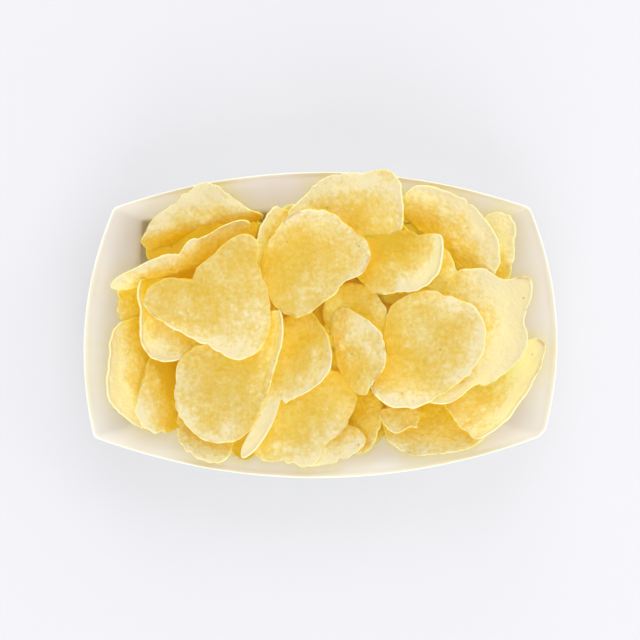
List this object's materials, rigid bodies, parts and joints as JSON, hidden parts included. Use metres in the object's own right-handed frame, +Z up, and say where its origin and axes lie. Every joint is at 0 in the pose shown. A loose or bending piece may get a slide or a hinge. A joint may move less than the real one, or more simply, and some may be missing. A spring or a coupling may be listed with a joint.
{
  "type": "card food tray of potato crisps",
  "caption": "Folded white card food tray with flared walls, heaped above its rim with curled potato crisps.",
  "frame": {"origin": "centre of the tray's outline in plan, on the surface that the base stands on", "axes": "+X along the tray's long side, +Y across it towards the shorter long wall, +Z up"},
  "size_m": [0.199, 0.1284, 0.0713],
  "materials": {
    "card": "matt white coated card",
    "crisp": "dry fried potato with a thin film of oil"
  },
  "bodies": {
    "root": {"tray": "card", "crisps": "crisp"}
  },
  "joints": []
}
